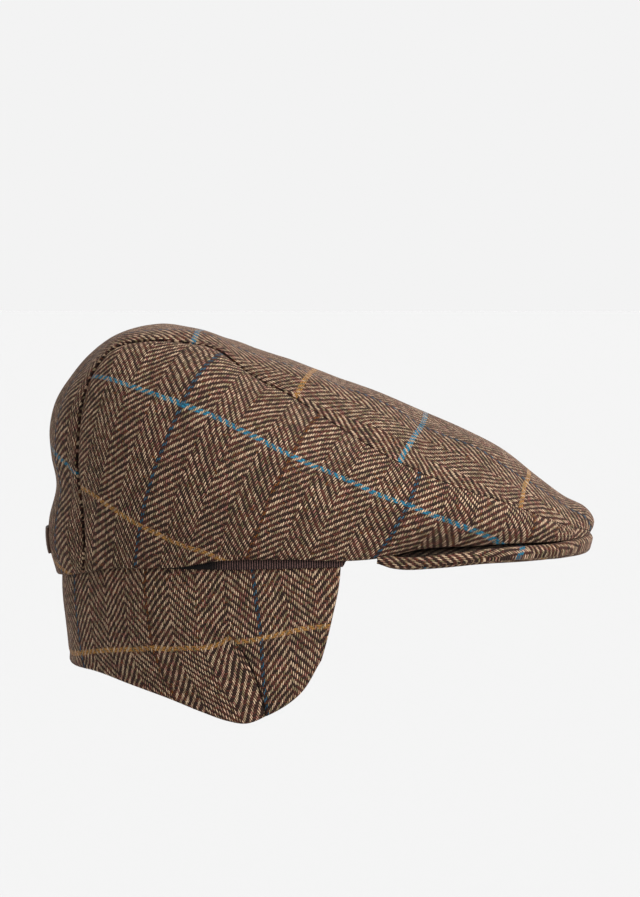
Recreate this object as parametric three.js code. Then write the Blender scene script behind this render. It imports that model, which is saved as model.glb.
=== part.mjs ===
// A flat cap of herringbone tweed with an ear and neck flap, built from its separate pieces.
// Millimetres. +X points to the tip of the peak, +Y to the wearer's left, +Z up.
// The origin is the centre of the head opening.
import * as THREE from "three";

// Thicknesses and clearances.
const CLOTH = 2; // crown: tweed with its fusing
const FLAP_CLOTH = 2.8; // ear flap: two layers of tweed
const RIBBON = 0.8;
const TAB = 1.4;
const PEAK = 5.4; // stiff board between two layers of tweed
const SEAM_GAP = 0.8; // the open valley between two panels
const LAYER_GAP = 0.3; // between cloths that lie on each other

// How finely each piece is faceted, along it and across it.
const STRIP_FACETS = { back: 16, top: 32, across: 12 };
const SIDE_FACETS = { along: 31, down: 16 };
const PEAK_FACETS = { along: 32, out: 5 };
const RIBBON_FACETS = 72;
const FLAP_FACETS = { along: 60, down: 11 };
const TAB_FACETS = 4;

// Head opening, measured on the crown's outer face.
const RIM_HALF_WIDTH = 87.3;
const RIM_BACK = 107.4;
const RIM_FRONT = 130; // half length of the flatter ellipse that it follows ahead of the ears

// Rows of the centre strip: where its seam turns from the back onto the top, its front edge, and
// where the side panel has narrowed to a point.
const TURN = 8;
const STRIP_END = 24;
const SIDE_END = 23.5;
const CORNER_STEP = 0.02; // rows by which the side panel stands clear of its seam down the back

// Peak: its outer and inner edges are parts of two ellipses, and its board is bent over the brow.
const PEAK_OUTER = { centre: 66, reach: 101.5, half: 80 };
const PEAK_INNER = { centre: 57, reach: 47, half: 73 };
const PEAK_CORNER = THREE.MathUtils.degToRad(96);
const PEAK_ARCH = 120; // radius of the bend from side to side
const PEAK_EDGE_TURNS = [30, 60, 85]; // degrees through which the covered edge has turned

// Ribbon round the rim.
const RIBBON_TOP = 10.5;
const RIBBON_END = 108.5; // degrees round the rim from the centre back
const RIBBON_SECTIONS = 4; // rows of its table from the centre back to its end

// Ear flap.
const FLAP_TOP = 8;
const FLAP_SLANT = 0.6; // share by which its front edge starts upright before it curves back

// Tab at the centre back, on rows of the centre strip.
const TAB_ROWS = [0.68, 1.63];
const TAB_HALF_WIDTH = 12;

const TWEED = new THREE.MeshStandardMaterial({ color: 0x6b5140, roughness: 0.95, metalness: 0 });
const GROSGRAIN = new THREE.MeshStandardMaterial({ color: 0x2e1d1b, roughness: 0.8, metalness: 0 });
const LEATHER = new THREE.MeshStandardMaterial({ color: 0x3a251d, roughness: 0.6, metalness: 0 });

// A table with a row for each section: every named column becomes a smooth curve through its rows.
function sections(names, rows) {
  const columns = names.split(" ");
  return (t) => {
    const i = Math.min(Math.max(Math.floor(t), 0), rows.length - 2);
    const f = t - i;
    const along = (k) => {
      const [b, c] = [rows[i][k], rows[i + 1][k]];
      const a = i > 0 ? rows[i - 1][k] : 2 * b - c;
      const d = i + 2 < rows.length ? rows[i + 2][k] : 2 * c - b;
      return b + 0.5 * f * (c - a + f * (2 * a - 5 * b + 4 * c - d + f * (3 * (b - c) + d - a)));
    };
    return Object.fromEntries(columns.map((name, k) => [name, along(k)]));
  };
}

// Centre strip, from the rim at the back over the top to the front edge above the peak.
// edge is the angle in degrees by which the strip has turned down where it meets the seam.
const strip = sections("ridgeX ridgeZ seamX seamY seamZ edge", [
  [-107.4, -8, -90.5, 47, -3.9, 44],
  [-111.3, 7, -90, 48.5, 9, 52],
  [-111, 20, -90.3, 48.5, 21, 52],
  [-107.3, 36.5, -92.2, 47, 37.5, 46],
  [-109.8, 52, -93.4, 46.5, 52, 46],
  [-110.6, 66, -92.4, 46.5, 67, 48],
  [-107.3, 80, -90.6, 46, 81, 48],
  [-99.6, 92.3, -86.5, 45, 93.2, 48],
  [-89.5, 104, -79.5, 44, 104, 52],
  [-76, 113.6, -70, 44, 109.6, 48],
  [-59, 118.3, -57, 44.5, 111.2, 40],
  [-39.3, 116.8, -39.4, 46, 110.4, 34],
  [-22, 112, -23, 49.5, 106.5, 30],
  [-5, 106.3, -6, 54.5, 94.5, 38],
  [14, 99.8, 13, 60, 84.5, 44],
  [35, 92, 35, 65, 70.5, 50],
  [57, 84.3, 57, 69, 57, 54],
  [79, 74.9, 78, 70, 46.7, 54],
  [101, 65.4, 100, 67.5, 38, 54],
  [121, 55, 119.5, 61, 31.5, 52],
  [139, 41, 136, 51, 24.6, 48],
  [152.5, 31, 149.5, 39.5, 19, 45],
  [163.7, 25.2, 159.3, 27.5, 16, 42],
  [168.4, 18, 164.2, 18.5, 14.2, 34],
  [165.2, 12.6, 164.8, 14.5, 12.6, 20],
]);

// Side panel, on the rows of the centre strip from the turn forward. facing is the compass angle
// in degrees, from the peak, of the section's outward side; fall is the angle by which the cloth
// turns down as it leaves the seam, and tuck the angle by which it comes back in at the rim.
const side = sections("rimX rimY rimZ facing fall tuck", [
  [-90.5, 47, -3.9, 180, 10, 14],
  [-78, 60, -0.8, 148, 4, 16],
  [-60.5, 72.1, 0.6, 128, 8, 16],
  [-41, 80.7, 2.9, 112, 10, 15],
  [-22, 85.5, 6, 100, 12, 15],
  [-2, 87.3, 6.3, 92, 22, 15],
  [18, 86.5, 5.8, 88, 32, 16],
  [38, 83.5, 5.1, 85, 38, 18],
  [57, 78.8, 7.8, 82, 42, 24],
  [79, 74.5, 10, 77, 42, 34],
  [101, 70, 10.8, 70, 42, 36],
  [120.5, 62.5, 11.3, 60, 40, 36],
  [137.5, 52.5, 11.2, 50, 38, 36],
  [150.5, 41, 11.3, 40, 36, 34],
  [159.5, 28.5, 11.8, 28, 34, 30],
  [163.8, 19, 12.3, 16, 30, 24],
  [164.8, 14.5, 12.6, 6, 25, 20],
]);
const SEAM_REACH = 0.32; // how far the section runs on in each direction, as a share of its height
const RIM_REACH = 0.48;
const CORNER_ROWS = 4; // rows over which the panel forgets the shape of its back seam

// Height of the peak's board above the rim, along its centre.
const spine = sections("z", [[30], [28.2], [28], [26.8], [22.2], [15.2], [8.6], [5]]);
const SPINE_START = 48;
const SPINE_STEP = 20;

// Lower edge of the ribbon, from the centre back forward to its end.
const ribbonEdge = sections("z", [[0.5], [0.5], [0.6], [1.2], [1.9]]);

// Ear flap: the angles round the rim, in degrees from the centre back, where each of its columns
// starts and ends, and the height of its lower edge there.
const flap = sections("top bottom z", [
  [0, 0, -52.6],
  [17, 17, -53],
  [34, 33, -53.4],
  [50, 48, -57.6],
  [64, 61, -62.8],
  [76, 72, -69],
  [86, 80, -73.4],
  [94, 86, -74.5],
  [100.5, 92, -69.4],
  [105, 97.5, -61],
  [107.5, 101, -51.5],
]);
const FLAP_END = 10; // its last column

// How far the flap's face lies inside its top edge on the way down, as it leans in to the neck.
const LEAN_SECTIONS = 8; // rows of this table from its top edge to its lower edge
const flapLean = sections("inset", [[0], [0], [-1], [-1.3], [-0.9], [0], [1], [2], [3]]);

// The dart that cups each ear lobe: a fold that starts half way down and runs forward to the edge.
// Its place and width are counted in the flap's columns.
const DART = { start: 0.5, column: 5.65, slope: 4.9, width: 0.5, depth: 1.6 };

const lerp = THREE.MathUtils.lerp;
const radians = THREE.MathUtils.degToRad;

// Point of the centre strip at a row, from the left seam (across = -1) to the right one (1).
function stripPoint(row, across) {
  const s = strip(row);
  const edge = radians(s.edge);
  const turned = across * edge;
  const drop = (1 - Math.cos(turned)) / (1 - Math.cos(edge));
  return new THREE.Vector3(
    lerp(s.ridgeX, s.seamX, drop),
    (-s.seamY * Math.sin(turned)) / Math.sin(edge),
    lerp(s.ridgeZ, s.seamZ, drop),
  );
}

// The right side panel's own section through a row, from the seam (down = 0) to the rim (1).
function sideSection(row, down) {
  const seam = stripPoint(row, 1);
  const s = side(row - TURN);
  const rim = new THREE.Vector3(s.rimX, -s.rimY, s.rimZ);
  const facing = radians(s.facing);
  const outward = new THREE.Vector3(Math.cos(facing), -Math.sin(facing), 0);
  const height = seam.distanceTo(rim);
  const [fall, tuck] = [radians(s.fall), radians(s.tuck)];
  const shoulder = seam
    .clone()
    .addScaledVector(outward, height * SEAM_REACH * Math.cos(fall))
    .setZ(seam.z - height * SEAM_REACH * Math.sin(fall));
  const belly = rim
    .clone()
    .addScaledVector(outward, height * RIM_REACH * Math.sin(tuck))
    .setZ(rim.z + height * RIM_REACH * Math.cos(tuck));
  return new THREE.CubicBezierCurve3(seam, shoulder, belly, rim).getPoint(down);
}

// Point of the right side panel. Its first row is the seam down the back.
function sidePoint(row, down) {
  const point = sideSection(row, down);
  const near = Math.max(0, 1 - (row - TURN) / CORNER_ROWS);
  const pull = near * near * (3 - 2 * near);
  if (pull === 0) return point;
  const back = stripPoint(TURN * (1 - down), 1).sub(sideSection(TURN, down));
  return point.addScaledVector(back, pull);
}

// Point of an oval band that lies inside the rim, at an angle round it from the centre back.
function bandPoint(angle, inset, z) {
  const a = radians(angle);
  const length = (angle > 90 || angle < -90 ? RIM_FRONT : RIM_BACK) - inset;
  return new THREE.Vector3(-length * Math.cos(a), -(RIM_HALF_WIDTH - inset) * Math.sin(a), z);
}

// Middle of the peak's board, from corner to corner and from the inner edge to the outer one.
function peakPoint(angle, out) {
  const edge = (e) => [e.centre + e.reach * Math.cos(angle), e.half * Math.sin(angle)];
  const [inner, outer] = [edge(PEAK_INNER), edge(PEAK_OUTER)];
  const x = lerp(inner[0], outer[0], out);
  const y = lerp(inner[1], outer[1], out);
  return new THREE.Vector3(x, y, spine((x - SPINE_START) / SPINE_STEP).z - y ** 2 / (2 * PEAK_ARCH));
}

// Unit outward normal of a surface, by the slopes along its two parameters.
function normalAt(surface, u, v) {
  const step = 1e-3;
  const slope = (du, dv) => surface(u + du, v + dv).sub(surface(u - du, v - dv));
  return slope(0, step).cross(slope(step, 0)).normalize();
}

// A closed mesh from rings of points: each ring is joined to the next, and the ends are filled
// across between the two halves of the ring.
function solidFromRings(name, material, rings) {
  const size = rings[0].length;
  const half = size / 2;
  const faces = [];
  const quad = (a, b, c, d) => faces.push(a, b, c, a, c, d);
  for (let i = 0; i + 1 < rings.length; i++) {
    for (let j = 0; j < size; j++) {
      const k = (j + 1) % size;
      quad(i * size + j, i * size + k, (i + 1) * size + k, (i + 1) * size + j);
    }
  }
  const last = (rings.length - 1) * size;
  for (let j = 0; j + 1 < half; j++) {
    const [a, b, c, d] = [j, size - 1 - j, size - 2 - j, j + 1];
    quad(a, b, c, d);
    quad(last + d, last + c, last + b, last + a);
  }
  const points = rings.flat();
  let volume = 0;
  for (let f = 0; f < faces.length; f += 3) {
    const [a, b, c] = [points[faces[f]], points[faces[f + 1]], points[faces[f + 2]]];
    volume += a.dot(b.clone().cross(c));
  }
  if (volume < 0) faces.reverse();
  const geometry = new THREE.BufferGeometry().setFromPoints(points).setIndex(faces);
  geometry.computeVertexNormals();
  const mesh = new THREE.Mesh(geometry, material);
  mesh.name = name;
  return mesh;
}

const steps = (from, to, count) => Array.from({ length: count + 1 }, (_, i) => lerp(from, to, i / count));

// A wall of cloth on a surface: its face and its back lie at two depths below the surface.
// Both run over the rows, and over the columns that columnsAt gives for each row.
function clothWall(name, material, surface, rows, columnsAt, face, back) {
  const rings = rows.map((u) => {
    const at = (v, depth) => surface(u, v).addScaledVector(normalAt(surface, u, v), -depth);
    const columns = columnsAt(u);
    return [...columns.map((v) => at(v, face)), ...columns.reverse().map((v) => at(v, back))];
  });
  return solidFromRings(name, material, rings);
}

function mirrored(mesh, name) {
  const geometry = mesh.geometry.clone().scale(1, -1, 1);
  geometry.index.array.reverse();
  geometry.computeVertexNormals();
  const copy = new THREE.Mesh(geometry, mesh.material);
  copy.name = name;
  return copy;
}

function crownTop() {
  const rows = [...steps(0, TURN, STRIP_FACETS.back), ...steps(TURN, STRIP_END, STRIP_FACETS.top).slice(1)];
  const columns = (row) => {
    const edge = 1 - SEAM_GAP / 2 / strip(row).seamY;
    return steps(-edge, edge, STRIP_FACETS.across);
  };
  return clothWall("crown_top", TWEED, stripPoint, rows, columns, 0, CLOTH);
}

function crownSide() {
  const rows = steps(TURN, SIDE_END, SIDE_FACETS.along);
  rows[0] += CORNER_STEP;
  const columns = (row) => {
    const s = side(row - TURN);
    const height = stripPoint(row, 1).distanceTo(new THREE.Vector3(s.rimX, -s.rimY, s.rimZ));
    return steps(SEAM_GAP / 2 / height, 1, SIDE_FACETS.down);
  };
  return clothWall("crown_side_right", TWEED, sidePoint, rows, columns, 0, CLOTH);
}

// The board's two faces, joined round its outer edge.
function peak() {
  const radius = PEAK / 2;
  const rings = steps(-PEAK_CORNER, PEAK_CORNER, PEAK_FACETS.along).map((angle) => {
    const width = peakPoint(angle, 0).distanceTo(peakPoint(angle, 1));
    const round = radius / width; // share of the width that the round edge takes
    const face = steps(0, 1 - round, PEAK_FACETS.out).map((out) => [out, radius]);
    const edge = PEAK_EDGE_TURNS.map(radians).map((turn) => [
      1 - round * (1 - Math.sin(turn)),
      radius * Math.cos(turn),
    ]);
    const upper = [...face, ...edge];
    const lower = upper.map(([out, up]) => [out, -up]).reverse();
    return [...upper, ...lower].map(([out, up]) =>
      peakPoint(angle, out).addScaledVector(normalAt(peakPoint, angle, out), up),
    );
  });
  return solidFromRings("peak", TWEED, rings);
}

function ribbon() {
  const inset = CLOTH + LAYER_GAP;
  const lower = (angle) => ribbonEdge((RIBBON_SECTIONS * Math.abs(angle)) / RIBBON_END).z;
  const surface = (angle, down) => bandPoint(angle, inset, lerp(RIBBON_TOP, lower(angle), down));
  const rows = steps(-RIBBON_END, RIBBON_END, RIBBON_FACETS);
  return clothWall("rim_ribbon", GROSGRAIN, surface, rows, () => [0, 1], 0, RIBBON);
}

function dartDepth(column, down) {
  const below = Math.max(0, down - DART.start);
  const off = (column - DART.column - DART.slope * below) / DART.width;
  const open = below / (1 - DART.start);
  return DART.depth * open * (2 - open) * Math.exp(-off * off);
}

function earFlap() {
  const inset = CLOTH + RIBBON + 2 * LAYER_GAP;
  const surface = (column, down) => {
    const c = flap(Math.abs(column));
    const angle = Math.sign(column) * lerp(c.top, c.bottom, lerp(down, down ** 2, FLAP_SLANT));
    const pulledIn = flapLean(LEAN_SECTIONS * down).inset + dartDepth(Math.abs(column), down);
    return bandPoint(angle, inset + pulledIn, lerp(FLAP_TOP, c.z, down));
  };
  const rows = steps(-FLAP_END, FLAP_END, FLAP_FACETS.along);
  return clothWall("ear_flap", TWEED, surface, rows, () => steps(0, 1, FLAP_FACETS.down), 0, FLAP_CLOTH);
}

function backTab() {
  const columns = (row) => {
    const edge = TAB_HALF_WIDTH / strip(row).seamY;
    return steps(-edge, edge, TAB_FACETS);
  };
  const rows = steps(...TAB_ROWS, TAB_FACETS);
  return clothWall("back_tab", LEATHER, stripPoint, rows, columns, -LAYER_GAP - TAB, -LAYER_GAP);
}

const cap = new THREE.Group();
const rightSide = crownSide();
cap.add(crownTop(), rightSide, mirrored(rightSide, "crown_side_left"));
cap.add(peak(), ribbon(), earFlap(), backTab());
export default cap;
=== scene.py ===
import math

import bpy
import numpy as np
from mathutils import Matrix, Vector


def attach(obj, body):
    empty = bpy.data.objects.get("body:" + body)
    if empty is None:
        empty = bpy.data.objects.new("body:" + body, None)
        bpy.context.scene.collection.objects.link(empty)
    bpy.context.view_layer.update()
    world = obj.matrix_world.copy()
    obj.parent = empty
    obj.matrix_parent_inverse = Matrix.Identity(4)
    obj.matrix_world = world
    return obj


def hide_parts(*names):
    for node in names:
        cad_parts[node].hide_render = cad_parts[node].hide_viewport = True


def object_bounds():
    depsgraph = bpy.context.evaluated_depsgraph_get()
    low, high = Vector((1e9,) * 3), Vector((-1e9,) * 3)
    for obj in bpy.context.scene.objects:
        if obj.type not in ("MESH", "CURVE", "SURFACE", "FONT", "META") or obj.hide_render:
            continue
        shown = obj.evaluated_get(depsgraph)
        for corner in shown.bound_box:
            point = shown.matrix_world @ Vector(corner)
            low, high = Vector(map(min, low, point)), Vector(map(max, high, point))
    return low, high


# The looks of a flat cap of herringbone tweed with an ear and neck flap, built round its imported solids.
# Metres. +X points to the tip of the peak, +Y to the wearer's left, +Z up.

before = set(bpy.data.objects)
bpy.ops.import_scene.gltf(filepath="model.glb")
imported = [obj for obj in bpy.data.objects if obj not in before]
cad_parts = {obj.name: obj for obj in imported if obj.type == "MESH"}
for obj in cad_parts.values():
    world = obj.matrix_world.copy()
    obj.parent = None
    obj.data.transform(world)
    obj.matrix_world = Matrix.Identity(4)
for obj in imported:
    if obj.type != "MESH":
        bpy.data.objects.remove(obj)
cad_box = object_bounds()

# ---------------------------------------------------------------- sizes

CLOTH = 0.002  # crown: tweed with its fusing
HEM = 0.001  # what the turned-in cloth adds to it along seams and rims
FLAP_CLOTH = 0.0028  # two layers of tweed
RIBBON = 0.0008
TAB = 0.0014
PEAK = 0.0054
LAYER_GAP = 0.0003
STEP = 0.00125  # how far apart a fine mesh has its points

RIM_HALF_WIDTH = 0.0873
RIM_BACK = 0.1074
RIM_FRONT = 0.13

TURN = 8  # the strip's row where its seam turns from the back onto the top
STRIP_END = 24
CORNER_ROWS = 4  # rows over which the side panel comes round from the seam down the back
# On top of the head the strip is flatter in its middle than an arc: at these rows, the share by
# which it has dropped towards its seam is raised to these powers.
SHOULDER_ROWS = [8, 9.5, 12, 14, 17]
SHOULDER = [1, 2.0, 2.2, 1.6, 1]
SEAM_REACH = 0.32  # how far the side panel keeps the direction in which it leaves the seam,
RIM_REACH = 0.48  # and the rim, as shares of its height

PEAK_OUTER = {"centre": 0.066, "reach": 0.1015, "half": 0.08}
PEAK_INNER = {"centre": 0.057, "reach": 0.047, "half": 0.073}
PEAK_CORNER = math.radians(96)
PEAK_ARCH = 0.12  # radius of its arch from side to side
SPINE_START = 0.048
SPINE_STEP = 0.02

RIBBON_TOP = 0.0105
RIBBON_END = 110.1  # degrees from the centre back
RIB_PITCH = 0.00122

FLAP_TOP = 0.008
FLAP_HEIGHT = 0.075
FLAP_SLANT = 0.6  # how much of its columns' slant comes late on the way down
FLAP_END = 10
LEAN_SECTIONS = 8
DART = {"start": 0.5, "column": 5.65, "slope": 5.6, "bend": 3.0, "width": 0.5, "depth": 0.0016}

# Tweed: a two-and-two herringbone, checked over with coloured yarns.
CHECK = 0.0605  # from one coloured line to the next, both ways
CHECK_ENDS = 64  # warp yarns from one coloured line to the next
END_PITCH = CHECK / CHECK_ENDS  # from one warp yarn to the next
PICK_PITCH = 0.000975  # from one weft yarn to the next
COLUMN_ENDS = 16  # warp yarns in each stripe of the herringbone
PLAIN_LINE = 9  # the one line across that has no coloured yarn


# ---------------------------------------------------------------- forms


def sections(names, rows):
    """A table with a row for each section: every named column becomes a smooth curve through its rows."""
    columns = names.split()
    table = np.array(rows, float)
    last = len(table) - 1

    def at(t):
        t = np.asarray(t, float)
        i = np.clip(np.floor(t).astype(int), 0, last - 1)
        f = (t - i)[..., None]
        b, c = table[i], table[i + 1]
        a = np.where((i > 0)[..., None], table[np.maximum(i - 1, 0)], 2 * b - c)
        d = np.where((i + 2 <= last)[..., None], table[np.minimum(i + 2, last)], 2 * c - b)
        curve = b + 0.5 * f * (c - a + f * (2 * a - 5 * b + 4 * c - d + f * (3 * (b - c) + d - a)))
        return {name: curve[..., k] for k, name in enumerate(columns)}

    return at


# Centre strip, from the rim at the back over the top to the front edge above the peak.
# edge is the angle in degrees by which the strip has turned down where it meets the seam.
strip = sections(
    "ridge_x ridge_z seam_x seam_y seam_z edge",
    [
        [-0.1074, -0.008, -0.0905, 0.047, -0.0039, 44],
        [-0.1113, 0.007, -0.09, 0.0485, 0.009, 52],
        [-0.111, 0.02, -0.0903, 0.0485, 0.021, 52],
        [-0.1073, 0.0365, -0.0922, 0.047, 0.0375, 46],
        [-0.1098, 0.052, -0.0934, 0.0465, 0.052, 46],
        [-0.1106, 0.066, -0.0924, 0.0465, 0.067, 48],
        [-0.1073, 0.08, -0.0906, 0.046, 0.081, 48],
        [-0.0996, 0.0923, -0.0865, 0.045, 0.0932, 48],
        [-0.0895, 0.104, -0.0795, 0.044, 0.104, 52],
        [-0.076, 0.1136, -0.07, 0.044, 0.1096, 48],
        [-0.059, 0.1183, -0.057, 0.0445, 0.1112, 40],
        [-0.0393, 0.1168, -0.0394, 0.046, 0.1104, 34],
        [-0.022, 0.112, -0.023, 0.0495, 0.1065, 30],
        [-0.005, 0.1063, -0.006, 0.0545, 0.0945, 38],
        [0.014, 0.0998, 0.013, 0.06, 0.0845, 44],
        [0.035, 0.092, 0.035, 0.065, 0.0705, 50],
        [0.057, 0.0843, 0.057, 0.069, 0.057, 54],
        [0.079, 0.0749, 0.078, 0.07, 0.0467, 54],
        [0.101, 0.0654, 0.1, 0.0675, 0.038, 54],
        [0.121, 0.055, 0.1195, 0.061, 0.0315, 52],
        [0.139, 0.041, 0.136, 0.051, 0.0246, 48],
        [0.1525, 0.031, 0.1495, 0.0395, 0.019, 45],
        [0.1637, 0.0252, 0.1593, 0.0275, 0.016, 42],
        [0.1684, 0.018, 0.1642, 0.0185, 0.0142, 34],
        [0.1652, 0.0126, 0.1648, 0.0145, 0.0126, 20],
    ],
)

# Side panel, on the rows of the centre strip from the turn forward. facing is the compass angle
# in degrees, from the peak, of the section's outward side; fall is the angle by which the cloth
# turns down as it leaves the seam, and tuck the angle by which it comes back in at the rim.
side = sections(
    "rim_x rim_y rim_z facing fall tuck",
    [
        [-0.0905, 0.047, -0.0039, 180, 10, 14],
        [-0.078, 0.06, -0.0008, 148, 4, 16],
        [-0.0605, 0.0721, 0.0004, 128, 8, 16],
        [-0.041, 0.0807, 0.0017, 112, 10, 15],
        [-0.022, 0.0855, 0.0051, 100, 12, 15],
        [-0.002, 0.0873, 0.0059, 92, 22, 15],
        [0.018, 0.0865, 0.0058, 88, 32, 16],
        [0.038, 0.0835, 0.0049, 85, 38, 18],
        [0.057, 0.0788, 0.0058, 82, 42, 24],
        [0.079, 0.0745, 0.01, 77, 42, 34],
        [0.101, 0.07, 0.0108, 70, 42, 36],
        [0.1205, 0.0625, 0.0113, 60, 40, 36],
        [0.1375, 0.0525, 0.0112, 50, 38, 36],
        [0.1505, 0.041, 0.0113, 40, 36, 34],
        [0.1595, 0.0285, 0.0118, 28, 34, 30],
        [0.1638, 0.019, 0.0123, 16, 30, 24],
        [0.1648, 0.0145, 0.0126, 6, 25, 20],
    ],
)

# Height of the peak's board above the rim, along its centre.
spine = sections("z", [[0.03], [0.0282], [0.028], [0.0268], [0.0222], [0.0152], [0.0086], [0.005]])

# Lower edge of the ribbon, from the centre back forward to its end.
ribbon_edge = sections("z", [[0.0005], [0.0005], [0.0004], [0.0005], [0.0016]])

# Ear flap: the angles round the rim, in degrees from the centre back, where each of its columns
# starts and ends, and the height of its lower edge there.
flap = sections(
    "top bottom z",
    [
        [0, 0, -0.0526],
        [17, 17, -0.053],
        [34, 33, -0.0534],
        [50, 48, -0.0576],
        [64, 61, -0.0628],
        [76, 72, -0.069],
        [86, 80, -0.0734],
        [94, 86, -0.0743],
        [100.5, 92.4, -0.069],
        [105, 98.6, -0.0592],
        [107.1, 103, -0.0445],
    ],
)

# How far the flap's face lies inside its top edge on the way down, as it leans in to the neck.
flap_lean = sections(
    "inset", [[0], [0], [-0.0005], [-0.0006], [-0.0001], [0.0008], [0.0016], [0.0023], [0.003]]
)


def lerp(a, b, t):
    return a + (b - a) * t


def smooth(t):
    """Rises from 0 to 1 as t does, and starts and ends gently."""
    t = np.clip(t, 0, 1)
    return t * t * (3 - 2 * t)


def fading(t):
    """1 where t is 0, and less and less on both sides."""
    return np.exp(-(t**2))


def points(x, y, z):
    return np.stack(np.broadcast_arrays(x, y, z), axis=-1)


def unit(v):
    return v / np.maximum(np.linalg.norm(v, axis=-1, keepdims=True), 1e-12)


def strip_point(row, across):
    """Centre strip at a row, from the left seam (across = -1) to the right one (1)."""
    s = strip(row)
    edge = np.radians(s["edge"])
    turned = across * edge
    drop = ((1 - np.cos(turned)) / (1 - np.cos(edge))) ** np.interp(row, SHOULDER_ROWS, SHOULDER)
    return points(
        lerp(s["ridge_x"], s["seam_x"], drop),
        -s["seam_y"] * np.sin(turned) / np.sin(edge),
        lerp(s["ridge_z"], s["seam_z"], drop),
    )


def side_section(row, down):
    """The right side panel's own section through a row, from the seam (down = 0) to the rim (1)."""
    seam = strip_point(row, 1)
    s = side(row - TURN)
    rim = points(s["rim_x"], -s["rim_y"], s["rim_z"])
    facing, fall, tuck = (np.radians(s[name])[..., None] for name in ("facing", "fall", "tuck"))
    outward = np.concatenate([np.cos(facing), -np.sin(facing), 0 * facing], axis=-1)
    up = np.array([0, 0, 1])
    height = np.linalg.norm(seam - rim, axis=-1, keepdims=True)
    shoulder = seam + height * SEAM_REACH * (outward * np.cos(fall) - up * np.sin(fall))
    belly = rim + height * RIM_REACH * (outward * np.sin(tuck) + up * np.cos(tuck))
    t = down[..., None]
    return (
        (1 - t) ** 3 * seam + 3 * (1 - t) ** 2 * t * shoulder + 3 * (1 - t) * t**2 * belly + t**3 * rim
    )


def side_point(row, down):
    """The right side panel. Its first row is the seam down the back."""
    near = np.maximum(0, 1 - (row - TURN) / CORNER_ROWS)
    start = np.full_like(row, TURN)
    back = strip_point(TURN * (1 - down), 1) - side_section(start, down)
    return side_section(row, down) + back * smooth(near)[..., None]


def band_point(angle, inset, z):
    """An oval band that lies inside the rim, at an angle round it from the centre back."""
    a = np.radians(angle)
    length = np.where(np.abs(angle) > 90, RIM_FRONT, RIM_BACK) - inset
    return points(-length * np.cos(a), -(RIM_HALF_WIDTH - inset) * np.sin(a), z)


def peak_outline(oval, angle):
    """One edge of the peak, seen from above."""
    return points(oval["centre"] + oval["reach"] * np.cos(angle), oval["half"] * np.sin(angle), 0 * angle)


def peak_lifted(plan):
    """The points of the peak's board that lie over points of its plan."""
    x, y, _ = np.moveaxis(plan, -1, 0)
    return points(x, y, spine((x - SPINE_START) / SPINE_STEP)["z"] - y**2 / (2 * PEAK_ARCH))


def dart_column(down):
    """Column of the flap along which its dart runs, at a share of the way down."""
    below = np.maximum(0, down - DART["start"])
    return DART["column"] + (DART["slope"] - DART["bend"] * below) * below


def flap_angle(column, down):
    """Angle round the rim of a point of the flap, in degrees from the centre back."""
    c = flap(np.abs(column))
    return np.sign(column) * lerp(c["top"], c["bottom"], lerp(down, down**2, FLAP_SLANT))


def flap_point(column, down):
    """The ear flap's face, from its left front edge (column = -10) to its right one (10)."""
    below = np.maximum(0, down - DART["start"])
    off = (np.abs(column) - dart_column(down)) / DART["width"]
    opened = below / (1 - DART["start"])
    fold = DART["depth"] * opened * (2 - opened) * fading(off)
    inset = CLOTH + RIBBON + 2 * LAYER_GAP + flap_lean(LEAN_SECTIONS * down)["inset"] + fold
    return band_point(flap_angle(column, down), inset, lerp(FLAP_TOP, flap(np.abs(column))["z"], down))


# ---------------------------------------------------------------- grids of points


def lengths(grid, axis):
    """How far each point of a grid lies from the first one, along an axis."""
    grid = np.moveaxis(grid, axis, 0)
    gone = np.concatenate(
        [np.zeros_like(grid[:1, ..., 0]), np.cumsum(np.linalg.norm(np.diff(grid, axis=0), axis=-1), axis=0)]
    )
    return np.moveaxis(gone, 0, axis)


def evenly(line, start, end, step):
    """Values between start and end at which a line has moved on by about the same step."""
    fine = np.linspace(start, end, 2000)
    gone = lengths(line(fine), 0)
    return np.interp(np.linspace(0, gone[-1], round(gone[-1] / step) + 1), gone, fine)


def grid_normals(grid, outward):
    """Unit normals of a grid, on the side that outward, a vector at its middle, points to."""
    cross = np.cross(grid[1:, 1:] - grid[:-1, :-1], grid[1:, :-1] - grid[:-1, 1:])
    normal = np.zeros_like(grid)
    for i in (slice(None, -1), slice(1, None)):
        for j in (slice(None, -1), slice(1, None)):
            normal[i, j] += cross
    normal = unit(normal)
    middle = normal[grid.shape[0] // 2, grid.shape[1] // 2]
    return normal if middle @ np.array(outward) > 0 else -normal


def close_set(reach, finest=0.00012, growth=1.25):
    """Distances from an edge, up to a reach, that start close together and widen to STEP."""
    found = [0]
    step = finest
    while found[-1] < reach:
        found.append(found[-1] + step)
        step = min(step * growth, STEP)
    return np.array(found[:-1])


def spread(width, near_start=True, near_end=True):
    """Shares of a width, close together near the ends that are asked for."""
    near = close_set(0.007)
    start = near if near_start else np.array([0])
    end = width - (near if near_end else np.array([0]))[::-1]
    middle = np.linspace(start[-1], end[0], max(2, round((end[0] - start[-1]) / STEP) + 1))
    return np.concatenate([start, middle[1:-1], end]) / width


# ---------------------------------------------------------------- seams

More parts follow.
